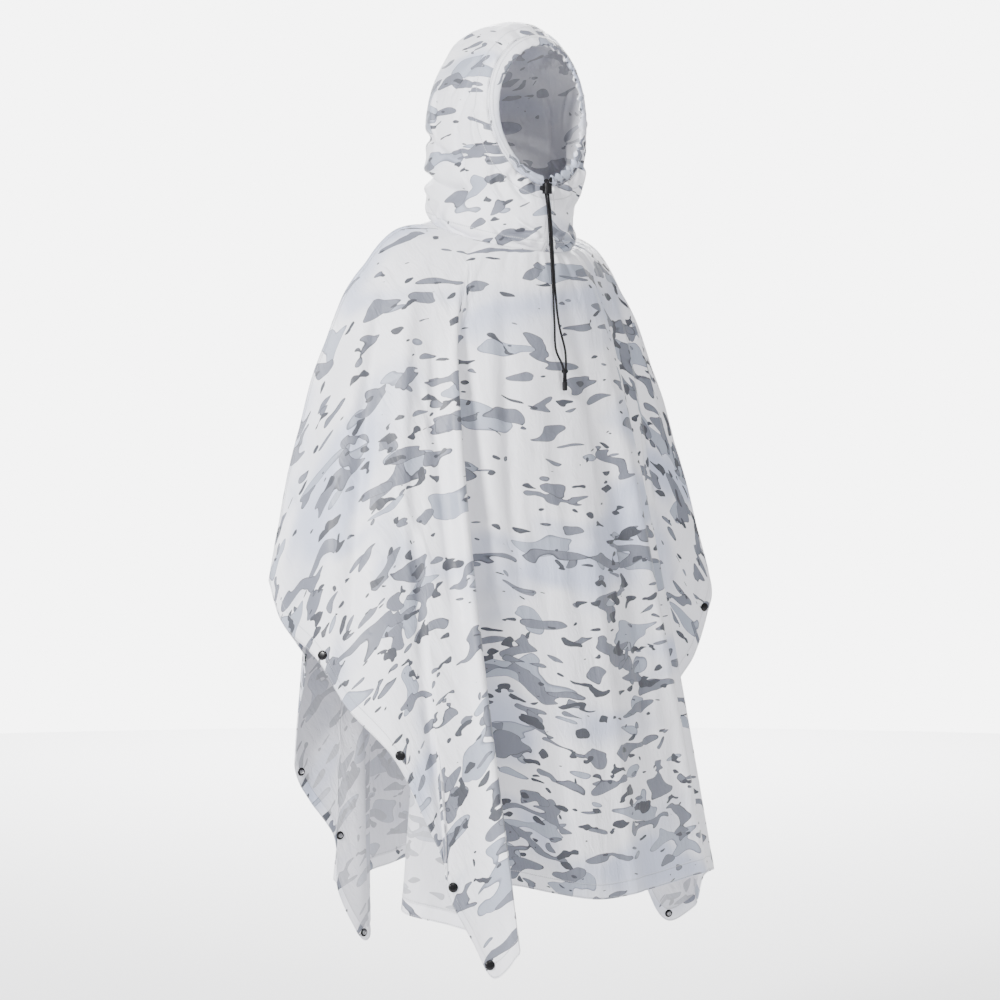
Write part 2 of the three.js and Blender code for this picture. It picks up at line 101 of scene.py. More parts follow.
backEdge = [
    (-90, -0.428, 0.010, -0.540),  # seam end right
    (-96, -0.392, 0.035, -0.598),
    (-102, -0.342, 0.044, -0.665),
    (-110, -0.332, 0.078, -0.755),
    (-117, -0.320, 0.100, -0.844),
    (-121, -0.292, 0.106, -0.885),
    (-126, -0.250, 0.100, -0.946),
    (-129, -0.242, 0.100, -1.030),
    (-133, -0.190, 0.100, -1.113),  # corner right
    (-137, -0.166, 0.120, -1.085),
    (-140, -0.172, 0.136, -1.050),
    (-145, -0.205, 0.158, -1.028),
    (-150, -0.196, 0.178, -1.022),
    (-157, -0.138, 0.178, -1.020),
    (-172, -0.040, 0.200, -1.005),
    (-177, -0.002, 0.228, -1.004),
    (-181, 0.034, 0.248, -1.002),  # first fold
    (-184, 0.046, 0.216, -1.006),
    (-188, 0.038, 0.162, -1.012),
    (-191, 0.070, 0.148, -1.012),
    (-195, 0.104, 0.188, -1.008),
    (-199, 0.138, 0.238, -1.006),  # second fold
    (-202, 0.152, 0.200, -1.010),
    (-206, 0.146, 0.148, -1.016),
    (-209, 0.178, 0.134, -1.018),
    (-213, 0.210, 0.168, -1.018),
    (-216.5, 0.246, 0.200, -1.020),  # third fold
    (-219, 0.258, 0.160, -1.028),
    (-222, 0.248, 0.112, -1.042),
    (-226, 0.298, 0.104, -1.084),  # corner left
    (-231, 0.330, 0.116, -1.005),
    (-237, 0.364, 0.108, -0.905),
    (-244, 0.392, 0.092, -0.805),
    (-252, 0.414, 0.068, -0.705),
    (-261, 0.428, 0.042, -0.630),
    (-267, 0.441, 0.016, -0.572),
    (-270, 0.447, 0.000, -0.535),  # seam end left
]

# The hood's loops from the channel to the neck seam: an oval through a point over the head (crown y z) and
# one in front of the neck (chin y z), its half width, and how far its sides bow back.
hoodLoops = np.array([
    (-0.098, 0.303, -0.120, 0.066, 0.098, 0.014),
    (-0.070, 0.325, -0.124, 0.055, 0.106, 0.014),
    (-0.018, 0.333, -0.127, 0.044, 0.112, 0.012),
    (0.048, 0.319, -0.128, 0.033, 0.115, 0.010),
    (0.101, 0.270, -0.127, 0.022, 0.116, 0.006),
    (0.126, 0.200, -0.125, 0.011, 0.114, 0.002),
    (0.120, 0.132, -0.123, 0.000, 0.111, 0.000),
    (0.110, 0.088, -0.122, -0.011, 0.110, 0.000),
    (0.116, 0.060, -0.122, -0.023, 0.119, 0.000),
    (0.102, 0.036, -0.112, -0.034, 0.112, 0.000),
])
faceOval = np.array([-0.113, 0.286, -0.116, 0.082, 0.082, 0.012])


# ---- surfaces ----
# 0 below the first value, 1 above the second, eased between them.
def ease(value, low, high):
    share = np.clip((value - low) / (high - low), 0, 1)
    return share * share * (3 - 2 * share)


# Centripetal Catmull-Rom: at place k + u, the cubic between points k and k + 1 whose slopes weigh the
# neighbours by the square root of their distance.
def splineThrough(points, place):
    points = np.asarray(points, float)
    padded = np.vstack([2 * points[0] - points[1], points, 2 * points[-1] - points[-2]])
    k = np.minimum(place.astype(int), len(points) - 2)
    u = (place - k)[:, None]
    a, b, c, d = (padded[k + n] for n in range(4))
    before, here, after = (np.linalg.norm(q - p, axis=1, keepdims=True) ** 0.5
                           for p, q in ((a, b), (b, c), (c, d)))
    leave = here * ((b - a) / before - (c - a) / (before + here) + (c - b) / here)
    enter = here * ((c - b) / here - (d - b) / (here + after) + (d - c) / after)
    bend = 3 * (c - b) - 2 * leave - enter
    return b + leave * u + bend * u ** 2 + (2 * (b - c) + leave + enter) * u ** 3


# Running length along the given axis of a grid of points, from 0.
def runningLength(points, axis):
    steps = np.linalg.norm(np.diff(points, axis=axis), axis=-1)
    start = np.zeros_like(np.take(steps, [0], axis=axis))
    return np.concatenate([start, np.cumsum(steps, axis=axis)], axis=axis)


# Neck seam: the oval of the hood's last loop, at a turn in radians.
def neckPoint(turn):
    crownY, crownZ, chinY, chinZ, half, bow = hoodLoops[-1]
    y, z = (crownY + chinY) / 2, (crownZ + chinZ) / 2
    front = np.cos(turn)
    return np.stack([half * np.sin(turn), y + (chinY - y) * front, z + (chinZ - z) * front - 0.0009], -1)


# Shoulder ring: an ellipse, wider to the right arm, that drops in front and behind by |cos(turn)|.
def kneePoint(turn):
    front, left = np.cos(turn), np.sin(turn)
    reach = np.where(left > 0, form["kneeLeft"], form["kneeRight"])
    depth = np.where(front > 0, form["kneeFront"], form["kneeBack"])
    drop = np.where(front > 0, form["kneeFrontDrop"], form["kneeBackDrop"])
    return np.stack([reach * left, -depth * front, form["kneeTop"] - drop * abs(front)], -1)


# Cubic Bezier from the neck over the ring to the edge; its third point lies on the way from ring to edge,
# pushed out sideways by sin(turn) to the fifth.
def fallGrid(turn, edge, share):
    neck, knee = neckPoint(turn), kneePoint(turn)
    hang = knee + (edge - knee) * form["hangShare"]
    left = np.sin(turn)
    hang[:, 0] += np.where(left > 0, form["bulgeLeft"], form["bulgeRight"]) * left ** 5
    t = share[:, None, None]
    return (1 - t) ** 3 * neck + 3 * (1 - t) ** 2 * t * knee + 3 * (1 - t) * t ** 2 * hang + t ** 3 * edge


# Unit normals of a grid: down its rows crossed with along its columns.
def gridNormals(points):
    normal = np.cross(np.gradient(points, axis=0), np.gradient(points, axis=1))
    return normal / np.maximum(np.linalg.norm(normal, axis=-1, keepdims=True), 1e-12)


# Smooth field over cloth coordinates: for each crease (start, end, width, depth, bow) the height is
# depth x exp(-(distance from its bowed line / width)^2), eased in and out towards its ends.
def creaseField(u, v, creases):
    height = np.zeros_like(u)
    for (u0, v0), (u1, v1), width, depth, bow in creases:
        du, dv = u1 - u0, v1 - v0
        size = math.hypot(du, dv)
        along = ((u - u0) * du + (v - v0) * dv) / size ** 2
        inside = np.clip(along, 0, 1)
        off = ((v - v0) * du - (u - u0) * dv) / size - bow * 4 * inside * (1 - inside)
        taper = ease(along, 0, 0.28) * ease(1 - along, 0, 0.34)
        height += depth * taper * np.exp(-(off / width) ** 2)
    return height


# Closed thin shell on a grid of middle points: outer face, inner face and the rim between. innerSlot gives
# the inner faces' material, one value per cell, and extra holds the other UV maps.
def shellObject(name, points, normals, half, uv, extra, innerSlot, materials):
    rows, columns = points.shape[:2]
    shift = normals * half[..., None]
    corners = np.concatenate([(points + shift).reshape(-1, 3), (points - shift).reshape(-1, 3)])
    order = np.arange(rows * columns).reshape(rows, columns)
    a, b, c, d = order[:-1, :-1], order[1:, :-1], order[1:, 1:], order[:-1, 1:]
    outer = np.stack([a, b, c, d], -1).reshape(-1, 4)
    inner = np.stack([a, d, c, b], -1).reshape(-1, 4) + order.size
    loop = np.concatenate([order[:, 0], order[-1, 1:], order[-2::-1, -1], order[0, -2::-1]])
    p, q = loop[:-1], loop[1:]
    rim = np.stack([p, p + order.size, q + order.size, q], -1)
    faces = np.concatenate([outer, inner, rim])
    slots = np.concatenate([np.zeros(len(outer), int), innerSlot.ravel(), np.zeros(len(rim), int)])
    mesh = bpy.data.meshes.new(name)
    mesh.vertices.add(len(corners))
    mesh.vertices.foreach_set("co", corners.ravel())
    mesh.loops.add(faces.size)
    mesh.loops.foreach_set("vertex_index", faces.ravel())
    mesh.polygons.add(len(faces))
    mesh.polygons.foreach_set("loop_start", np.arange(len(faces)) * 4)
    mesh.polygons.foreach_set("material_index", slots)
    mesh.polygons.foreach_set("use_smooth", np.ones(len(faces), bool))
    for label, values in [("print", uv), *extra.items()]:
        layer = mesh.uv_layers.new(name=label)
        both = np.concatenate([values.reshape(-1, 2)] * 2)
        layer.data.foreach_set("uv", both[faces.ravel()].ravel())
    mesh.update(calc_edges=True)
    mesh.set_sharp_from_angle(angle=math.radians(70))
    for material in materials:
        mesh.materials.append(material)
    piece = bpy.data.objects.new(name, mesh)
    bpy.context.scene.collection.objects.link(piece)
    return piece


# ---- materials ----
class Nodes:
    # Short way to build a node tree: node(type, inputs by name or place, settings) gives the new node.
    def __init__(self, name):
        self.material = bpy.data.materials.new(name)
        self.material.use_nodes = True
        self.tree = self.material.node_tree
        self.shader = self.tree.nodes["Principled BSDF"]

    def node(self, kind, inputs=None, **settings):
        made = self.tree.nodes.new("ShaderNode" + kind)
        for key, value in settings.items():
            setattr(made, key, value)
        for key, value in (inputs or {}).items():
            self.put(made.inputs[key], value)
        return made

    def put(self, socket, value):
        if isinstance(value, bpy.types.NodeSocket):
            self.tree.links.new(value, socket)
        else:
            socket.default_value = value

    def math(self, operation, a, b=0.0):
        return self.node("Math", {0: a, 1: b}, operation=operation).outputs[0]

    # 0 where value is under low, 1 where it is over high.
    def step(self, value, low, high):
        made = self.node("MapRange", {"Value": value, "From Min": low, "From Max": high},
                         interpolation_type="SMOOTHSTEP")
        return made.outputs["Result"]

    def mix(self, share, a, b):
        made = self.node("Mix", {0: share, 6: a, 7: b}, data_type="RGBA")
        return made.outputs[2]

    def noise(self, vector, scale, detail=2.0, rough=0.5, distort=0.0):
        made = self.node("TexNoise", {"Vector": vector, "Scale": scale, "Detail": detail,
                                      "Roughness": rough, "Distortion": distort})
        return made.outputs["Fac"]


snow = {
    "white": (0.85, 0.85, 0.90, 1),
    "haze": (0.50, 0.54, 0.68, 1),  # soft blue grey shadows of the print
    "pale": (0.33, 0.36, 0.44, 1),
    "grey": (0.165, 0.175, 0.215, 1),
    "dark": (0.065, 0.068, 0.082, 1),
    "reverse": (0.58, 0.58, 0.62, 1),
}


# Layers of blotches: how often across and down the cloth in one metre, shift, bend, the noise at which a
# blotch starts, how much earlier in a band, and its colour inside and at its rim.
snowLayers = [
    (8.0, 20.0, 1.3, 0.45, 0.630, 0.045, "pale", "grey"),
    (13.5, 34.0, 5.9, 0.60, 0.640, 0.055, "grey", "dark"),
    (11.0, 30.0, 14.6, 0.50, 0.660, 0.050, "grey", "dark"),
    (25.0, 52.0, 9.2, 0.40, 0.680, 0.060, "dark", "dark"),
]

snowGround = {  # how often across and down in one metre and shift, and between which values each fades in
    "band": (1.6, 4.2, 7.7),
    "bandFrom": (0.42, 0.60),
    "haze": (3.2, 6.0, 3.1),
    "hazeFrom": (0.50, 0.66),
    "rim": 0.016,
}


# Cloth coordinates in metres, stretched and shifted: blotches lie across the piece.
def clothVector(n, across, down, shift):
    uv = n.node("UVMap", uv_map="print").outputs[0]
    place = (shift, shift * 0.37, 0)
    made = n.node("Mapping", {"Vector": uv, "Scale": (across, down, 1), "Location": place})
    return made.outputs[0]


# Snow blotch print: white ground with a soft haze, pale and grey blotches where a warped noise is high, more
# of them in broad bands, and small dark flecks among them.
def snowPrint(n):
    band = n.step(n.noise(clothVector(n, *snowGround["band"]), 1.0, 1.0), *snowGround["bandFrom"])
    haze = n.noise(clothVector(n, *snowGround["haze"]), 1.0, 2.0, 0.5, 0.4)
    colour = n.mix(n.step(haze, *snowGround["hazeFrom"]), snow["white"], snow["haze"])
    for across, down, shift, bend, edge, more, blotch, rim in snowLayers:
        field = n.noise(clothVector(n, across, down, shift), 1.0, 1.3, 0.45, bend)
        over = n.math("SUBTRACT", field, n.math("SUBTRACT", edge, n.math("MULTIPLY", band, more)))
        rimmed = n.mix(n.step(over, 0.0, snowGround["rim"]), snow[rim], snow[blotch])
        colour = n.mix(n.math("GREATER_THAN", over, 0.0), colour, rimmed)
    return colour


sewing = {
    "rate": 290.0,  # stitches a metre
    "gap": 0.3,  # share of a stitch's length between two
    "thread": (0.0004, 0.0011),  # half width: full, and faded out
    "colour": (0.45, 0.46, 0.50, 1),
    "show": 0.6,
    "hem": [0.002, 0.022],  # away from the hem and from a seam
    "seam": [0.0015, 0.0065],
}
weave = {
    "ripstop": 0.005,  # between the lines of its grid
    "gridHigh": 0.00003,
    "long": (26.0, 7.0, 2.2),  # wrinkles: how often across and down a metre, shift
    "longHigh": 0.0042,
    "small": (74.0, 40.0, 4.4),
    "smallHigh": 0.0012,
    "grooveDeep": 0.0006,
    "reverseShare": 0.58,  # how much the reverse side pales the print
}


# Dashed line of sewing at a distance from an edge map: 1 on a stitch.
def stitchLine(n, label, places):
    uv = n.node("UVMap", uv_map=label).outputs[0]
    split = n.node("SeparateXYZ", {0: uv})
    along = n.math("FRACT", n.math("MULTIPLY", split.outputs[0], sewing["rate"]))
    dash = n.math("GREATER_THAN", along, sewing["gap"])
    line = 0.0
    for place in places:
        away = n.math("ABSOLUTE", n.math("SUBTRACT", split.outputs[1], place))
        here = n.math("SUBTRACT", 1.0, n.step(away, *sewing["thread"]))
        line = n.math("ADD", line, here) if place != places[0] else here
    return line, n.math("MULTIPLY", line, dash)


# Coated ripstop: a fine grid every 5 mm, a crumple of long soft wrinkles and a small one, all as bump.
def clothBump(n, groove):
    uv = n.node("UVMap", uv_map="print").outputs[0]
    split = n.node("SeparateXYZ", {0: uv})
    grid = 0.0
    for k in (0, 1):
        wave = n.math("COSINE", n.math("MULTIPLY", split.outputs[k], 2 * math.pi / weave["ripstop"]))
        line = n.step(wave, 0.86, 1.0)
        grid = n.math("MAXIMUM", grid, line) if k else line
    long = n.noise(clothVector(n, *weave["long"]), 1.0, 3.0, 0.45, 0.8)
    small = n.noise(clothVector(n, *weave["small"]), 1.0, 3.0, 0.5, 1.2)
    height = n.math("MULTIPLY", long, weave["longHigh"])
    height = n.math("ADD", height, n.math("MULTIPLY", small, weave["smallHigh"]))
    height = n.math("ADD", height, n.math("MULTIPLY", grid, weave["gridHigh"]))
    height = n.math("SUBTRACT", height, n.math("MULTIPLY", groove, weave["grooveDeep"]))
    return n.node("Bump", {"Height": height, "Strength": 1.0, "Distance": 1.0}).outputs[0]


def clothMaterial(name, printed):
    n = Nodes(name)
    hemLine, hemStitch = stitchLine(n, "hem", sewing["hem"])
    seamLine, seamStitch = stitchLine(n, "seam", sewing["seam"])
    colour = snowPrint(n)
    if not printed:
        colour = n.mix(weave["reverseShare"], colour, snow["reverse"])
    stitch = n.math("MAXIMUM", hemStitch, seamStitch)
    colour = n.mix(n.math("MULTIPLY", stitch, sewing["show"]), colour, sewing["colour"])
    groove = n.math("MAXIMUM", hemLine, seamLine)
    n.put(n.shader.inputs["Base Color"], colour)
    n.put(n.shader.inputs["Normal"], clothBump(n, groove))
    n.shader.inputs["Roughness"].default_value = 0.46 if printed else 0.6
    n.shader.inputs["Specular IOR Level"].default_value = 0.35
    n.shader.inputs["Sheen Weight"].default_value = 0.15
    n.shader.inputs["Sheen Roughness"].default_value = 0.4
    return n.material


def plainMaterial(name, colour, roughness, metal=0.0, coat=0.0):
    n = Nodes(name)
    n.shader.inputs["Base Color"].default_value = colour
    n.shader.inputs["Roughness"].default_value = roughness
    n.shader.inputs["Metallic"].default_value = metal
    n.shader.inputs["Coat Weight"].default_value = coat
    n.shader.inputs["Specular IOR Level"].default_value = 0.25
    return n.material


printedCloth = clothMaterial("printed cloth", True)
reverseCloth = clothMaterial("reverse cloth", False)
blackEnamel = plainMaterial("black enamel", (0.006, 0.006, 0.007, 1), 0.26, 0.0, 0.12)
steelRing = plainMaterial("steel ring", (0.42, 0.42, 0.44, 1), 0.32, 1.0)
blackPlastic = plainMaterial("black plastic", (0.008, 0.008, 0.009, 1), 0.40)
blackCord = plainMaterial("black cord", (0.007, 0.007, 0.008, 1), 0.8)
print("materials made")

# ---- press studs: where they sit ----
studNames = ["snap_%s_%d" % (corner, n)
             for corner in ("front_right", "front_left", "back_right", "back_left") for n in range(1, 5)]


# Middle of the gap between a stud's cap and its back, and the way from back to cap.
def studSeat(name):
    boxes = [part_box(name + part) for part in ("_back", "_cap")]
    back, cap = (np.array([(a + b) / 2 for a, b in zip(lo, hi)]) for lo, hi in boxes)
    axis = cap - back
    return (cap + back) / 2, axis / np.linalg.norm(axis)


studSeats = {name: studSeat(name) for name in studNames}
seatReach = (0.009, 0.030)  # round a stud: the cloth is moved fully, and no more
seatHeight = (0.012, 0.030)


# Moves the cloth near each stud onto the plane between its cap and back, fading out with distance.
def seatOnStuds(points, names):
    for name in names:
        middle, axis = studSeats[name]
        away = points - middle
        height = away @ axis
        reach = np.linalg.norm(away - height[..., None] * axis, axis=-1)
        near = (1 - ease(reach, *seatReach)) * (1 - ease(abs(height), *seatHeight))
        points = points - (near * height)[..., None] * axis
    return points


# ---- panels ----
cut = {
    "neckHalf": 0.112,  # half width and depth of the neck hole
    "neckDeep": 0.100,
    "half": 0.71,  # half the hem
    "shoulderDrop": 0.30,  # from the neck to the seam's end
    "length": 1.07,
    "area": 1.32,  # square metres of one panel's cut
}
panelGrid = {"columns": 360, "rows": 118, "hemRows": 8, "hemShare": 0.968}
foldStrength = {"panel": 1.5, "hood": 1.9, "ruffle": 1.7}

# Creases, for a panel seen from outside: from and to as (turn from its middle in degrees, share of
# the way from neck to edge), half width and height in metres, bow in metres. Height below 0 is a trough.
frontCreases = [
    ((-70, 0.10), (-62, 0.80), 0.016, 0.006, 0.010),
    ((-80, 0.16), (-74, 0.95), 0.014, -0.005, -0.012),
    ((-58, 0.14), (-52, 0.62), 0.012, -0.005, 0.006),
    ((-66, 0.35), (-57, 1.10), 0.018, -0.006, 0.010),
    ((-47, 0.06), (-46, 1.20), 0.010, -0.006, 0.000),
    ((-51, 0.05), (-50, 1.20), 0.012, 0.006, 0.004),
    ((-41, 0.12), (-42, 0.90), 0.009, -0.0045, 0.004),
    ((-30, 0.10), (-25, 0.78), 0.020, 0.006, 0.010),
    ((-24, 0.06), (-21, 0.60), 0.012, -0.004, 0.006),
    ((-18, 0.22), (-15, 1.20), 0.026, -0.004, -0.010),
    ((-6, 0.12), (-3, 0.70), 0.020, -0.003, 0.006),
    ((2, 0.30), (4, 1.20), 0.028, 0.006, 0.012),
    ((8, 0.05), (10, 0.48), 0.012, -0.003, -0.006),
    ((14, 0.16), (13, 0.92), 0.022, -0.006, -0.012),
    ((24, 0.10), (25, 1.20), 0.018, 0.006, 0.008),
    ((29, 0.30), (30, 1.20), 0.012, -0.005, 0.006),
    ((36, 0.08), (36, 0.66), 0.014, -0.006, 0.008),
    ((45, 0.10), (44, 0.90), 0.014, 0.007, -0.010),
    ((54, 0.14), (52, 0.80), 0.013, -0.006, 0.008),
    ((63, 0.10), (60, 0.70), 0.014, 0.006, -0.006),
    ((72, 0.22), (70, 0.95), 0.012, -0.005, 0.006),
    ((80, 0.12), (78, 0.60), 0.012, 0.005, 0.006),
    ((-36, 0.42), (-24, 0.45), 0.006, -0.0030, 0.004),
    ((-36, 0.47), (-20, 0.49), 0.007, -0.0032, -0.004),
    ((-35, 0.52), (-26, 0.53), 0.005, 0.0028, 0.003),
    ((-35, 0.56), (-19, 0.55), 0.008, -0.0028, 0.004),
    ((-64, 0.30), (-52, 0.34), 0.008, -0.0026, 0.006),
    ((-68, 0.52), (-54, 0.58), 0.009, 0.0028, -0.006),
    ((-60, 0.66), (-50, 0.70), 0.008, -0.0026, 0.005),
    ((-20, 0.30), (8, 0.36), 0.010, -0.002, 0.010),
    ((-10, 0.50), (16, 0.46), 0.009, 0.002, -0.012),
    ((-28, 0.62), (-6, 0.60), 0.010, -0.002, 0.008),
    ((4, 0.72), (26, 0.76), 0.011, 0.002, 0.010),
]
backCreases = [
    ((-74, 0.10), (-66, 0.85), 0.016, 0.006, 0.010),
    ((-62, 0.16), (-56, 0.70), 0.013, -0.006, -0.008),
    ((-48, 0.08), (-44, 1.20), 0.014, 0.006, 0.006),
    ((-38, 0.14), (-34, 0.82), 0.016, -0.005, -0.010),
    ((-22, 0.10), (-18, 1.20), 0.024, 0.005, 0.010),
    ((-8, 0.20), (-6, 0.75), 0.020, -0.004, -0.008),
    ((6, 0.12), (7, 1.20), 0.028, 0.004, 0.012),
    ((18, 0.18), (17, 0.90), 0.020, -0.005, -0.010),
    ((30, 0.08), (28, 0.70), 0.016, 0.005, 0.008),
    ((42, 0.14), (40, 1.20), 0.014, -0.006, -0.006),
    ((54, 0.10), (51, 0.80), 0.014, 0.006, 0.010),
    ((66, 0.20), (62, 0.95), 0.013, -0.005, -0.008),
    ((78, 0.12), (76, 0.65), 0.012, 0.005, 0.006),
    ((-16, 0.42), (12, 0.38), 0.010, 0.002, 0.012),
    ((-4, 0.66), (22, 0.62), 0.010, -0.002, -0.010),
]

# Small gathers under the neck seam: turn from the panel's middle, half width in degrees, reach, height.
neckGathers = [
    (-82, 2.6, 0.05, 0.0022), (-71, 2.0, 0.07, -0.0026), (-63, 2.8, 0.06, 0.0024),
    (-50, 2.2, 0.09, -0.0030), (-41, 3.0, 0.05, 0.0026), (-27, 2.4, 0.06, -0.0020),
    (-16, 3.4, 0.05, 0.0022), (-5, 2.0, 0.07, -0.0024), (9, 3.0, 0.05, 0.0020),
    (17, 2.2, 0.08, -0.0026), (31, 2.8, 0.06, 0.0026), (44, 2.0, 0.09, -0.0030),
    (52, 2.8, 0.06, 0.0024), (67, 2.4, 0.07, -0.0024), (79, 2.8, 0.05, 0.0022),
]

# Lift of the shoulder seams: place along the seam, half length, height, all in metres.
seamLifts = [(0.10, 0.030, 0.003), (0.17, 0.022, -0.004), (0.24, 0.030, 0.004), (0.31, 0.020, -0.003),
             (0.38, 0.026, 0.004), (0.45, 0.022, -0.004), (0.53, 0.028, 0.003), (0.60, 0.020, -0.003)]


# Flat cloth coordinates of a panel in metres: the neck hole's oval to the cut's outline. The edge's length
# from each seam end to the corner is the side edge, and the rest is the hem.
def flatLayout(turn, ends, corners):
    length = runningLength(ends, 0)
    places = np.interp(corners, np.arange(len(length)), length)
    side, drop, foot = cut["half"], cut["shoulderDrop"], cut["length"]
    marks = [0, places[0], places[1], length[-1]]
    u = np.interp(length, marks, [-side, -side, side, side])
    v = np.interp(length, marks, [drop, foot, foot, drop])
    neck = np.stack([cut["neckHalf"] * np.sin(turn), cut["neckDeep"] * np.cos(turn)], -1)
    return neck, np.stack([u, v], -1), length


def makePanel(name, edge, hand, cornerTurns, creases, names):
    edge = np.array(edge, float)
    place = np.linspace(0, len(edge) - 1, 4000)
    dense = splineThrough(edge[:, 1:], place)
    length = runningLength(dense, 0)
    place = np.interp(np.linspace(0, length[-1], panelGrid["columns"]), length, place)
    place[0], place[-1] = 0, len(edge) - 1
    ends = splineThrough(edge[:, 1:], place)
    turn = np.radians(np.interp(place, np.arange(len(edge)), edge[:, 0]))
    rows, hemRows = panelGrid["rows"], panelGrid["hemRows"]
    hemShare = panelGrid["hemShare"]
    share = np.append(np.linspace(0, hemShare, rows, endpoint=False), np.linspace(hemShare, 1, hemRows))
    points = fallGrid(turn, ends, share)
    fall = runningLength(points, 0)
    fromMiddle = turn if hand > 0 else -(turn + math.pi)
    turnDegrees = np.degrees(fromMiddle)
    corners = np.interp(cornerTurns, turnDegrees, np.arange(len(turn)))
    neckFlat, edgeFlat, edgeLength = flatLayout(fromMiddle, ends, corners)
    done = (fall / fall[-1])[..., None]
    flat = neckFlat * (1 - done) + edgeFlat * done
    u, v = flat[..., 0], flat[..., 1]
    hemAway = fall[-1] - fall
    seamAway = np.minimum(np.linalg.norm(points - points[:, :1], axis=-1),
                          np.linalg.norm(points - points[:, -1:], axis=-1))

    def flatAt(where):
        at, down = where
        start = [np.interp(at, turnDegrees, neckFlat[:, n]) for n in (0, 1)]
        end = [np.interp(at, turnDegrees, edgeFlat[:, n]) for n in (0, 1)]
        return [a + (b - a) * down for a, b in zip(start, end)]

    lines = [(flatAt(start), flatAt(end), width, depth, bow) for start, end, width, depth, bow in creases]
    height = creaseField(u, v, lines) * foldStrength["panel"]
    for at, wide, reach, lift in neckGathers:
        height += lift * np.exp(-((turnDegrees - at) / wide) ** 2) * np.exp(-(fall / reach) ** 2)
    height *= ease(seamAway, 0.0, 0.035) * ease(fall, 0.0, 0.012)
    lift = sum(high * np.exp(-((fall - at) / wide) ** 2) for at, wide, high in seamLifts)
    points = points + (lift * np.exp(-(seamAway / 0.05) ** 2) * ease(fall, 0, 0.05))[..., None] * (0, 0, 1)
    points = points + gridNormals(points) * hand * height[..., None]
    points = seatOnStuds(points, names)
    points[:, [0, -1], 1] -= hand * form["seamGap"] / 2
    normals = gridNormals(points) * hand
    half = form["cloth"] / 2 * (1 + 1.3 * (1 - ease(hemAway, form["hemTurn"], form["hemTurn"] + 0.002)))
    hemUv = np.stack([np.broadcast_to(edgeLength, u.shape), hemAway], -1)
    seamUv = np.stack([fall, seamAway], -1)
    inside = (hemAway[:-1, :-1] > form["hemTurn"]).astype(int)
    if hand < 0:
        points, normals, half, flat, hemUv, seamUv, inside = (
            grid[:, ::-1] for grid in (points, normals, half, flat, hemUv, seamUv, inside))
    piece = shellObject(name, points, normals, half, flat, {"hem": hemUv, "seam": seamUv}, inside,
                        [printedCloth, reverseCloth])
    print(name, "made")
    return piece


frontNames = [name for name in studNames if "front" in name]
backNames = [name for name in studNames if "back_" in name]
frontPanel = makePanel("frontPanel", frontEdge, 1, (-53, 45), frontCreases, frontNames)
backPanel = makePanel("backPanel", backEdge, -1, (-47, 46), backCreases, backNames)
for panel, node in ((frontPanel, "front_panel"), (backPanel, "back_panel")):
    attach(panel, "root")
    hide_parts(node)

# ---- hood ----
hoodGrid = {"columns": 150, "rows": 120}
hoodCut = {
    "flat": (0.42, 0.40),  # of one side piece
    "area": 0.125,
    "middle": 0.15,  # height about which it is laid flat
    "half": 0.118,  # half width of the hood
    "spread": 0.7,  # how much what curves to a seam is pushed out
    "apart": 0.9,  # from the middle of the printed cloth
}
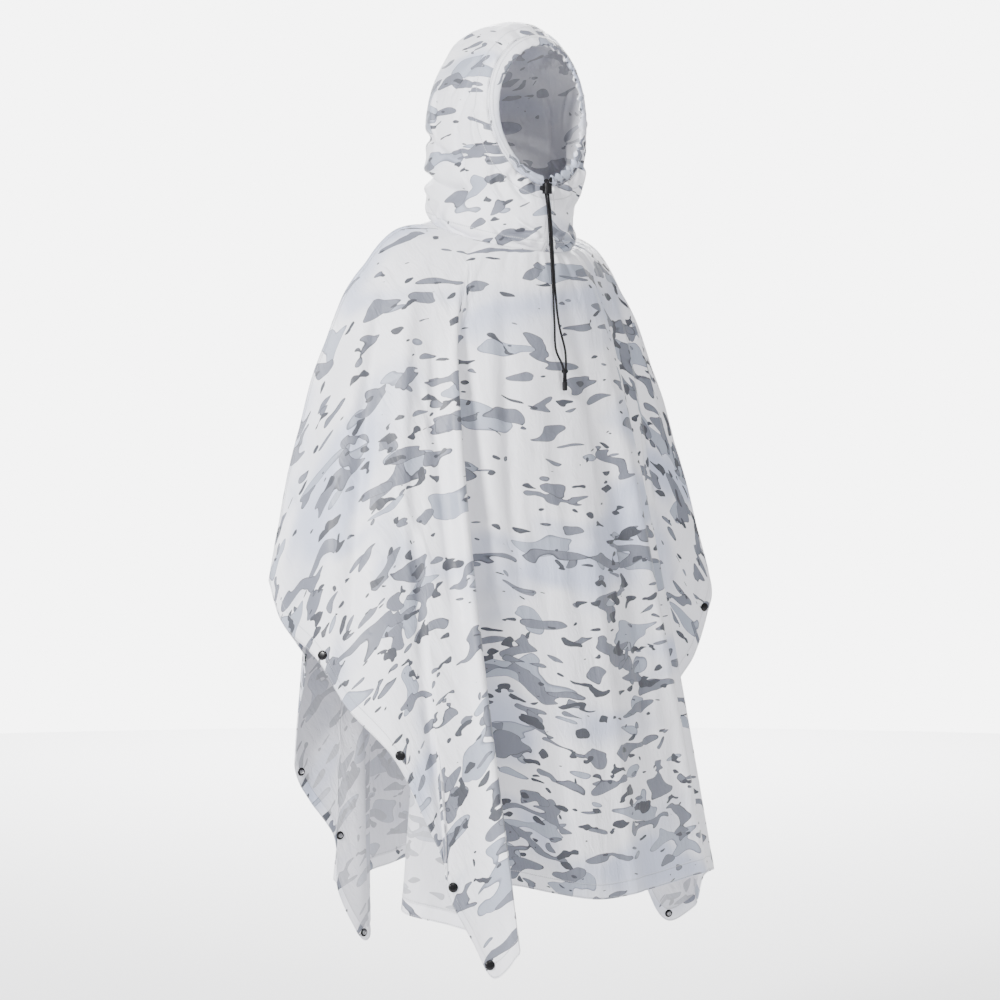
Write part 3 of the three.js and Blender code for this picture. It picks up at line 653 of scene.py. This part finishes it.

# Creases of each half: from and to as (degrees from the crown seam, loop counted from the channel),
# half width, height and bow in metres.
hoodCreases = {
    "right": [
        ((12, 7.1), (78, 6.0), 0.0060, -0.0066, 0.004),
        ((62, 6.4), (124, 4.2), 0.0055, -0.0060, -0.004),
        ((14, 7.8), (126, 5.6), 0.0120, 0.0062, 0.004),
        ((20, 5.6), (86, 4.1), 0.0065, -0.0050, 0.004),
        ((76, 4.7), (120, 3.0), 0.0055, -0.0040, 0.005),
        ((30, 6.4), (96, 4.7), 0.0090, 0.0036, 0.003),
        ((96, 3.0), (118, 5.4), 0.0048, -0.0040, -0.006),
        ((60, 3.4), (86, 4.7), 0.0055, 0.0034, 0.006),
        ((88, 0.8), (120, 2.6), 0.0055, 0.0030, 0.006),
        ((70, 1.2), (98, 3.4), 0.0045, -0.0030, -0.005),
        ((54, 1.0), (78, 3.0), 0.0070, -0.0026, -0.006),
        ((26, 1.2), (40, 3.4), 0.0100, 0.0024, 0.006),
        ((128, 1.2), (150, 5.0), 0.0045, 0.0036, 0.008),
        ((140, 0.6), (164, 3.2), 0.0040, -0.0036, 0.004),
        ((84, 7.7), (128, 8.6), 0.0042, -0.0038, 0.004),
        ((52, 8.0), (92, 8.7), 0.0042, -0.0038, -0.003),
        ((134, 7.2), (168, 8.5), 0.0050, -0.0042, 0.005),
        ((150, 5.8), (172, 7.6), 0.0055, 0.0036, -0.005),
        ((126, 6.6), (164, 6.2), 0.0045, -0.0036, 0.004),
    ],
    "left": [
        ((14, 7.0), (72, 6.1), 0.0060, -0.0062, 0.005),
        ((58, 6.4), (120, 4.5), 0.0055, -0.0058, -0.005),
        ((16, 7.7), (122, 5.8), 0.0120, 0.0060, 0.004),
        ((24, 5.4), (90, 4.2), 0.0065, -0.0048, -0.004),
        ((80, 4.6), (124, 3.2), 0.0055, -0.0038, 0.004),
        ((34, 6.3), (98, 4.9), 0.0090, 0.0034, -0.003),
        ((92, 3.2), (120, 5.2), 0.0050, -0.0036, -0.006),
        ((64, 3.2), (86, 4.6), 0.0055, 0.0032, -0.006),
        ((84, 1.0), (112, 2.9), 0.0055, 0.0030, 0.005),
        ((66, 1.4), (92, 3.6), 0.0048, -0.0028, 0.005),
        ((34, 1.0), (46, 3.0), 0.0100, 0.0024, -0.006),
        ((124, 1.0), (152, 4.6), 0.0045, 0.0036, -0.007),
        ((146, 0.8), (166, 3.6), 0.0040, -0.0034, 0.004),
        ((88, 7.9), (132, 8.5), 0.0042, -0.0038, 0.004),
        ((56, 8.1), (80, 8.7), 0.0044, -0.0036, -0.004),
        ((140, 7.2), (168, 8.3), 0.0050, -0.0042, 0.005),
        ((152, 5.6), (174, 7.2), 0.0055, 0.0036, 0.005),
        ((130, 6.5), (162, 6.0), 0.0048, -0.0034, -0.004),
    ],
}

# Gathers where the channel draws the hood's edge in: degrees, half width, reach in loops, height in metres.
browGathers = [
    (8, 3.2, 1.0, 0.0016), (19, 2.6, 1.4, -0.0018), (28, 3.4, 0.9, 0.0020), (41, 2.4, 1.6, -0.0022),
    (52, 3.0, 1.1, 0.0020), (60, 2.2, 1.5, -0.0024), (73, 3.2, 1.0, 0.0022), (83, 2.4, 1.8, -0.0024),
    (95, 3.0, 1.2, 0.0024), (104, 2.2, 1.6, -0.0026), (117, 3.0, 1.0, 0.0024), (127, 2.2, 2.0, -0.0030),
    (138, 2.8, 1.4, 0.0030), (147, 2.0, 2.2, -0.0034), (157, 2.6, 1.6, 0.0032), (166, 2.0, 1.8, -0.0030),
    (174, 2.4, 1.4, 0.0024),
]


# Ovals of the hood: over the head to in front of the neck by (1 + cos) / 2, sideways by sin, bowed by sin^2.
def ovalPoints(loop, angle):
    crownY, crownZ, chinY, chinZ, half, bow = (loop[..., n] for n in range(6))
    top, side = (1 + np.cos(angle)) / 2, np.sin(angle)
    return np.stack([half * side, chinY + (crownY - chinY) * top + bow * side ** 2,
                     chinZ + (crownZ - chinZ) * top], -1)


def makeHoodHalf(name, side):
    hand = 1 if side == "left" else -1
    level = np.linspace(0, len(hoodLoops) - 1, hoodGrid["rows"])
    angle = np.linspace(0, math.pi, hoodGrid["columns"])
    points = ovalPoints(splineThrough(hoodLoops, level)[:, None], angle[None, :])
    down = runningLength(points, 0)
    around = runningLength(points, 1)
    around = around - around[:, -1:] / 2
    degrees = np.degrees(angle)[None, :]

    def clothAt(where):
        row = np.interp(where[1], level, np.arange(len(level)))
        column = np.interp(where[0], degrees[0], np.arange(len(angle)))
        return around[round(row), round(column)], down[round(row), round(column)]

    lines = [(clothAt(start), clothAt(end), width, depth, bow)
             for start, end, width, depth, bow in hoodCreases[side]]
    height = creaseField(around, down, lines) * foldStrength["hood"]
    for at, wide, reach, lift in browGathers:
        height += lift * np.exp(-((degrees - at) / wide) ** 2) * np.exp(-(level[:, None] / reach) ** 2)
    for at, wide, reach, lift in neckGathers:
        fromFront = 180 - degrees
        below = down[-1:] - down
        aroundNeck = np.exp(-((fromFront - abs(at) * 2) / wide / 2) ** 2)
        height += lift * aroundNeck * np.exp(-(below / reach / 0.5) ** 2)
    seamAway = np.minimum(np.linalg.norm(points - points[:, :1], axis=-1),
                          np.linalg.norm(points - points[:, -1:], axis=-1))
    height *= ease(seamAway, 0, 0.012) * ease(down[-1:] - down, 0, 0.006)
    outward = -gridNormals(points)
    points = points + outward * height[..., None]
    points[..., 0] += form["seamGap"] / 2 * (1 - ease(seamAway, 0, 0.002))
    points[..., 0] *= hand
    if hand > 0:
        points, down, around, seamAway = (grid[:, ::-1] for grid in (points, down, around, seamAway))
    normals = gridNormals(points)
    # Side piece laid flat: seen from the side, and pushed outwards by what it curves round to the seams.
    y, z = points[..., 1], points[..., 2] - hoodCut["middle"]
    curved = (hoodCut["half"] - abs(points[..., 0])) / np.maximum(np.hypot(y, z), 0.03)
    spread = 1 + hoodCut["spread"] * curved
    flat = np.stack([(y * spread + hoodCut["apart"]) * hand, hoodCut["flat"][1] - z * spread], -1)
    neckAway = down[-1:] - down
    edgeAway = np.minimum(neckAway + 0.004, down + 0.0005)
    half = np.full(down.shape, form["cloth"] / 2)
    edges = {"hem": np.stack([around, edgeAway], -1), "seam": np.stack([down, seamAway], -1)}
    inside = np.ones((points.shape[0] - 1, points.shape[1] - 1), int)
    piece = shellObject(name, points, normals, half, flat, edges, inside, [printedCloth, reverseCloth])
    print(name, "made")
    return piece


for side in ("left", "right"):
    half = makeHoodHalf("hood" + side.capitalize(), side)
    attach(half, "root")
    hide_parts("hood_" + side)

# ---- drawcord channel ----
channel = {
    "depth": 0.0062,
    "sides": 24,
    "steps": 520,
    "endAngle": 174.5,  # degrees from the crown at which each end opens
    "hoodGap": 0.0006,  # clear of the hood's edge, and of both edges together
    "bothGaps": 0.0008,
    "leftShift": 1.2,  # degrees by which the left side's ruffles differ from the right's
}

# Ruffles over half the opening: degrees from the crown, half width in degrees, height in metres.
ruffles = [
    (3, 1.5, 0.0010), (7, 1.2, -0.0009), (12.5, 2.2, 0.0016), (18, 1.6, -0.0014), (21.5, 1.0, 0.0009),
    (27, 2.4, -0.0010), (33, 1.3, 0.0019), (36, 1.0, -0.0013), (41, 2.6, 0.0012), (46, 1.2, -0.0019),
    (49, 1.1, 0.0011), (55, 2.2, 0.0017), (59, 1.0, -0.0016), (62, 1.0, 0.0008), (68, 2.5, -0.0011),
    (73, 1.2, 0.0021), (76, 0.9, -0.0012), (82, 2.2, 0.0013), (86.5, 1.3, -0.0020), (90, 1.0, 0.0010),
    (96, 2.4, 0.0018), (101, 1.1, -0.0015), (104, 0.9, 0.0009), (111, 2.3, -0.0012), (116, 1.4, 0.0021),
    (119.5, 1.0, -0.0017), (125, 2.5, 0.0012), (130, 1.2, -0.0020), (133.5, 1.0, 0.0015),
    (139, 2.2, -0.0010), (144, 1.3, 0.0021), (147.5, 1.0, -0.0015), (153, 2.2, 0.0014),
    (158, 1.2, -0.0020), (162, 1.4, 0.0019), (167, 1.6, -0.0013), (171, 1.1, 0.0014),
]


# Gathered strip round the face opening: a flattened oval section between the hood's edge and the face oval,
# swollen and pinched by the ruffles, and open at both ends.
def makeChannel():
    end = channel["endAngle"]
    degrees = np.linspace(-end, end, channel["steps"])
    angle = np.radians(degrees)
    seam = ovalPoints(hoodLoops[0][None], angle)
    face = ovalPoints(faceOval[None], angle)
    across = face - seam
    width = np.linalg.norm(across, axis=-1, keepdims=True)
    across = across / width
    along = np.gradient(seam, axis=0)
    out = np.cross(along, across)
    out /= np.linalg.norm(out, axis=-1, keepdims=True)
    ruffle = np.zeros_like(degrees)
    lean = np.zeros_like(degrees)
    for at, wide, lift in ruffles:
        for hand in (-1, 1):
            bump = np.exp(-((degrees - hand * (at + channel["leftShift"] * (hand > 0))) / wide) ** 2)
            ruffle += foldStrength["ruffle"] * lift * bump
            lean += foldStrength["ruffle"] * hand * lift * bump
    turn = np.linspace(0, 2 * math.pi, channel["sides"], endpoint=False)
    section = np.sign(np.cos(turn)) * abs(np.cos(turn)) ** 0.8
    halfWidth = (width[:, 0] - channel["bothGaps"]) / 2
    middle = seam + across * (channel["hoodGap"] + halfWidth[:, None])
    inward = (1 + np.cos(turn)) / 2
    reach = halfWidth[:, None] * section + (0.6 * ruffle[:, None] + 0.4 * lean[:, None]) * inward
    swell = (0.45 + 0.55 * np.sin(turn)) * (0.35 + 0.65 * inward)
    rise = channel["depth"] / 2 * np.sin(turn) + ruffle[:, None] * swell
    points = middle[:, None] + across[:, None] * reach[..., None] + out[:, None] * rise[..., None]
    points = np.concatenate([points, points[:, :1]], 1)
    length = np.broadcast_to(runningLength(seam, 0)[:, None], points.shape[:2])
    around = runningLength(points, 1)
    flat = np.stack([length + 2.3, around], -1)
    seamAway = np.abs(around - around[:, -1:] / 2)
    half = np.full(around.shape, form["cloth"] / 2)
    edges = {"hem": np.stack([length, 0.2 + around], -1), "seam": np.stack([length, seamAway - 0.0015], -1)}
    inside = np.ones((points.shape[0] - 1, points.shape[1] - 1), int)
    piece = shellObject("hoodChannel", points, -gridNormals(points), half, flat, edges, inside,
                        [printedCloth, reverseCloth])
    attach(piece, "root")
    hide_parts("hood_channel")
    print("channel made")


makeChannel()

# ---- drawcord ----
cord = {
    "diameter": 0.0035,
    "length": 0.337,
    "sides": 12,
    "steps": 260,
    "braidRate": 1400,  # radians a metre
    "braidSwell": 0.05,  # share of the radius
    "knotScale": 0.00125,
    "knotRadius": 0.0019,
}
# Listed: out of the channel, through the lock, down the chest, into the knot and the barrel.
cordRoutes = {
    "right": [
        (-0.0079, -0.1194, 0.0742), (-0.0066, -0.1197, 0.0744), (-0.0056, -0.1245, 0.0754),
        (-0.0105, -0.1310, 0.0738), (-0.0164, -0.1360, 0.0695), (-0.0164, -0.1360, 0.0600),
        (-0.0164, -0.1360, 0.0500), (-0.0105, -0.1340, 0.0240), (-0.0055, -0.1325, -0.0200),
        (-0.0040, -0.1380, -0.0970), (-0.0100, -0.1490, -0.1500), (-0.0130, -0.1565, -0.1900),
        (-0.0050, -0.1615, -0.2120), (-0.0028, -0.1630, -0.2230), (-0.0028, -0.1630, -0.2380)],
    "left": [
        (0.0079, -0.1194, 0.0742), (0.0066, -0.1197, 0.0744), (0.0036, -0.1245, 0.0758),
        (-0.0035, -0.1325, 0.0775), (-0.0116, -0.1360, 0.0695), (-0.0116, -0.1360, 0.0600),
        (-0.0116, -0.1360, 0.0500), (-0.0060, -0.1340, 0.0240), (-0.0010, -0.1325, -0.0200),
        (0.0005, -0.1380, -0.0970), (-0.0010, -0.1490, -0.1500), (0.0050, -0.1565, -0.1900),
        (0.0025, -0.1615, -0.2120), (0.0009, -0.1630, -0.2230), (0.0009, -0.1630, -0.2380)],
}
knotCenter = (-0.001, -0.163, -0.223)


# Mesh tube along a line of points, its rings set square to the line against one fixed direction. The radius
# swells and shrinks with the braid: rate turns a metre, two strands crossing.
def tubeObject(name, line, radius, sides, closed, material):
    tangent = np.gradient(line, axis=0)
    if closed:
        tangent[0] = tangent[-1] = line[1] - line[-2]
    tangent /= np.linalg.norm(tangent, axis=1, keepdims=True)
    side = np.cross(tangent, (0.31, -0.94, 0.12))
    side /= np.linalg.norm(side, axis=1, keepdims=True)
    up = np.cross(tangent, side)
    turn = np.linspace(0, 2 * math.pi, sides, endpoint=False)
    length = runningLength(line, 0)
    strands, slant = 4 * turn[None], length[:, None] * cord["braidRate"]
    braid = 1 + cord["braidSwell"] * np.sin(strands + slant) * np.sin(strands - slant)
    ring = (np.cos(turn)[None, :, None] * side[:, None] + np.sin(turn)[None, :, None] * up[:, None])
    points = line[:, None] + ring * braid[..., None] * radius
    rows = len(line)
    order = np.arange(rows * sides).reshape(rows, sides)
    nextSide = np.roll(order, -1, axis=1)
    faces = np.stack([order[:-1], nextSide[:-1], nextSide[1:], order[1:]], -1).reshape(-1, 4).tolist()
    if not closed:
        faces += [order[0, ::-1].tolist(), order[-1].tolist()]
    mesh = bpy.data.meshes.new(name)
    mesh.from_pydata(points.reshape(-1, 3).tolist(), [], faces)
    mesh.polygons.foreach_set("use_smooth", np.ones(len(faces), bool))
    mesh.update()
    mesh.materials.append(material)
    piece = bpy.data.objects.new(name, mesh)
    bpy.context.scene.collection.objects.link(piece)
    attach(piece, "root")
    return piece


def makeCords():
    # Knot: an overhand knot's trefoil, x = sin t + 2 sin 2t, y = -sin 3t, z = cos t - 2 cos 2t.
    t = np.linspace(0, 2 * math.pi, 120)
    loops = [np.sin(t) + 2 * np.sin(2 * t), -1.2 * np.sin(3 * t), 1.15 * (np.cos(t) - 2 * np.cos(2 * t))]
    knot = np.stack(loops, -1) * cord["knotScale"] + np.array(knotCenter)
    knotPiece = tubeObject("cordKnot", knot, cord["knotRadius"], cord["sides"], True, blackCord)
    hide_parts("cord_knot")
    for side, route in cordRoutes.items():
        line = splineThrough(route, np.linspace(0, len(route) - 1, 2400))
        length = runningLength(line, 0)
        even = np.linspace(0, length[-1], cord["steps"])
        line = np.stack([np.interp(even, length, line[:, k]) for k in range(3)], -1)
        piece = tubeObject("cord" + side.capitalize(), line, cord["diameter"] / 2, cord["sides"], False,
                           blackCord)
        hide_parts("cord_" + side, *(["cord_tail"] if side == "left" else []))
    print("cords made")


makeCords()

# ---- press studs ----
studs = {
    "facets": 40,
    "cap": [(0.0, 0.00265), (0.0030, 0.00262), (0.0052, 0.00240), (0.0063, 0.00190), (0.0068, 0.00120),
            (0.0072, 0.00070), (0.0072, 0.00015), (0.0, 0.00010)],
    "backBlack": [(0.0043, 0.00150), (0.0050, 0.00185), (0.0058, 0.00170), (0.0064, 0.00110),
                  (0.0066, 0.00040), (0.0066, 0.00010), (0.0, 0.00010), (0.0, 0.00060), (0.0043, 0.00060),
                  (0.0043, 0.00150)],
    "backSteel": [(0.0, 0.00070), (0.0017, 0.00070), (0.0019, 0.00260), (0.0024, 0.00320),
                  (0.0031, 0.00300), (0.0033, 0.00210), (0.0038, 0.00100), (0.0038, 0.00050),
                  (0.0, 0.00050)],
}


# Turned bodies: the same profile (radius, height) about the axis of each seat, as one mesh.
def turnedBodies(name, profile, seats, material):
    profile = np.array(profile)
    facets = studs["facets"]
    turn = np.linspace(0, 2 * math.pi, facets, endpoint=False)
    middles = np.array([seat for seat, axis in seats])
    axes = np.array([axis for seat, axis in seats])
    side = np.cross(axes, (0.1, 0.2, 1.0))
    side /= np.linalg.norm(side, axis=1, keepdims=True)
    up = np.cross(axes, side)
    ring = np.cos(turn)[None, :, None] * side[:, None] + np.sin(turn)[None, :, None] * up[:, None]
    points = (middles[:, None, None] + profile[None, :, None, :1] * ring[:, None]
              + profile[None, :, None, 1:] * axes[:, None, None])
    count = len(profile) * facets
    order = np.arange(count).reshape(len(profile), facets)
    nextTurn = np.roll(order, -1, axis=1)
    cell = np.stack([order[:-1], order[1:], nextTurn[1:], nextTurn[:-1]], -1).reshape(-1, 4)
    faces = (cell[None] + (np.arange(len(seats)) * count)[:, None, None]).reshape(-1, 4)
    mesh = bpy.data.meshes.new(name)
    mesh.from_pydata(points.reshape(-1, 3).tolist(), [], faces.tolist())
    mesh.polygons.foreach_set("use_smooth", np.ones(len(faces), bool))
    mesh.update()
    mesh.set_sharp_from_angle(angle=math.radians(50))
    mesh.materials.append(material)
    piece = bpy.data.objects.new(name, mesh)
    bpy.context.scene.collection.objects.link(piece)
    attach(piece, "root")
    return piece


def makeStuds():
    lift = form["cloth"]
    caps = [(middle + axis * lift, axis) for middle, axis in studSeats.values()]
    backs = [(middle - axis * lift, -axis) for middle, axis in studSeats.values()]
    capPiece = turnedBodies("studCaps", studs["cap"], caps, blackEnamel)
    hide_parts(*[name + "_cap" for name in studNames])
    backPiece = turnedBodies("studBacks", studs["backBlack"], backs, blackEnamel)
    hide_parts(*[name + "_back" for name in studNames])
    turnedBodies("studSprings", studs["backSteel"], backs, steelRing)
    print("studs made")


makeStuds()
for name in ("cord_lock", "cord_lock_button", "cord_end"):
    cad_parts[name].data.materials.clear()
    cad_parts[name].data.materials.append(blackPlastic)

# ---- stage ----
stage = {
    "floor": -1.50,
    "floorRadius": 8.0,
    "distance": 4.0,  # of the camera from the middle of the neck
    "height": -0.42,
    "azimuth": -38,
    "lens": 90.7,
    "floorColour": (0.88, 0.88, 0.89, 1),
    "sky": 0.44,  # strength of the white world, and of its part behind the object
    "backdrop": 6.5,
    "coneOuter": 0.90,  # cosines of the angles at which that part fades in and is full
    "coneInner": 0.955,
    "lights": [  # name, place, aim, size in metres, watts
        ("key", (-3.8, -1.2, 1.6), (0, -0.1, -0.4), 0.7, 400),
        ("front", (-0.8, -3.9, 2.3), (0, 0, -0.3), 0.9, 105),
        ("rim", (2.6, 2.2, 1.4), (0, 0, -0.4), 1.2, 40),
        ("floor", (4.4, 5.6, 3.5), (4.4, 5.6, -1.5), 6.0, 2400),
    ],
}


def addStage():
    n = Nodes("studio floor")
    n.shader.inputs["Base Color"].default_value = stage["floorColour"]
    n.shader.inputs["Roughness"].default_value = 0.9
    mesh = bpy.data.meshes.new("floor")
    turn = np.linspace(0, 2 * math.pi, 96, endpoint=False)
    rim = np.stack([np.cos(turn), np.sin(turn), turn * 0], -1) * stage["floorRadius"]
    mesh.from_pydata(rim.tolist(), [], [list(range(len(turn)))])
    mesh.materials.append(n.material)
    floor = bpy.data.objects.new("floor", mesh)
    floor.location.z = stage["floor"]
    bpy.context.scene.collection.objects.link(floor)

    # World: white, brightest behind the object along the camera's way, as a lit backdrop is.
    world = bpy.data.worlds.new("studio")
    bpy.context.scene.world = world
    world.use_nodes = True
    nodes, links = world.node_tree.nodes, world.node_tree.links
    nodes["Background"].inputs["Color"].default_value = (1, 1, 1, 1)
    way = nodes.new("ShaderNodeTexCoord")
    dot = nodes.new("ShaderNodeVectorMath")
    dot.operation = "DOT_PRODUCT"
    angle = math.radians(stage["azimuth"])
    dot.inputs[1].default_value = (-math.sin(angle), math.cos(angle), 0)
    spread = nodes.new("ShaderNodeMapRange")
    spread.interpolation_type = "SMOOTHSTEP"
    ends = {"From Min": "coneOuter", "From Max": "coneInner", "To Min": "sky", "To Max": "backdrop"}
    for key, label in ends.items():
        spread.inputs[key].default_value = stage[label]
    links.new(way.outputs["Generated"], dot.inputs[0])
    links.new(dot.outputs["Value"], spread.inputs["Value"])
    links.new(spread.outputs["Result"], nodes["Background"].inputs["Strength"])

    for label, place, aim, size, power in stage["lights"]:
        light = bpy.data.lights.new(label, "AREA")
        light.size = size
        light.energy = power
        lamp = bpy.data.objects.new(label, light)
        lamp.location = place
        beam = np.array(aim) - np.array(place)
        yaw = math.atan2(beam[1], beam[0]) - math.pi / 2
        pitch = math.atan2(beam[2], math.hypot(beam[0], beam[1]))
        lamp.rotation_euler = (math.pi / 2 + pitch, 0, yaw)
        bpy.context.scene.collection.objects.link(lamp)

    camera = bpy.data.cameras.new("camera")
    camera.lens = stage["lens"]
    camera.sensor_width = 36
    eye = bpy.data.objects.new("camera", camera)
    away = stage["distance"]
    eye.location = (math.sin(angle) * away, -math.cos(angle) * away, stage["height"])
    eye.rotation_euler = (math.pi / 2, 0, angle)
    bpy.context.scene.collection.objects.link(eye)
    bpy.context.scene.camera = eye


addStage()
print("stage set")
